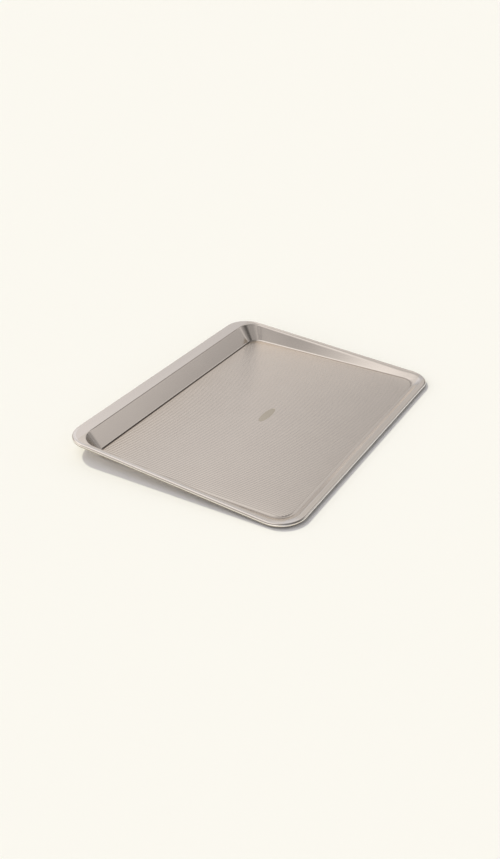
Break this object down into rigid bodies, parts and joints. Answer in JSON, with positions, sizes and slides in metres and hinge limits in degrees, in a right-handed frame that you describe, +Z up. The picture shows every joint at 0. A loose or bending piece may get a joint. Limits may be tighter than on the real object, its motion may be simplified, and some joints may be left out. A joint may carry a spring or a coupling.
{
  "type": "cookie sheet",
  "caption": "Shallow pressed baking tray with a tall grip flange on one long side, sloping end walls, a low lip on the other long side and a wired rolled rim.",
  "frame": {"origin": "on the table plane, under the middle of the outer outline over the rolled rim", "axes": "+Z up; +Y along the long sides; +X from the tall side with the grip flange to the low lip"},
  "size_m": [0.3484, 0.451, 0.0242],
  "materials": {
    "champagne_coating": "satin champagne non-stick coating",
    "bare_steel_wire": "drawn wire"
  },
  "bodies": {
    "root": {"tray": "champagne_coating", "rim_wire": "bare_steel_wire"}
  },
  "joints": []
}
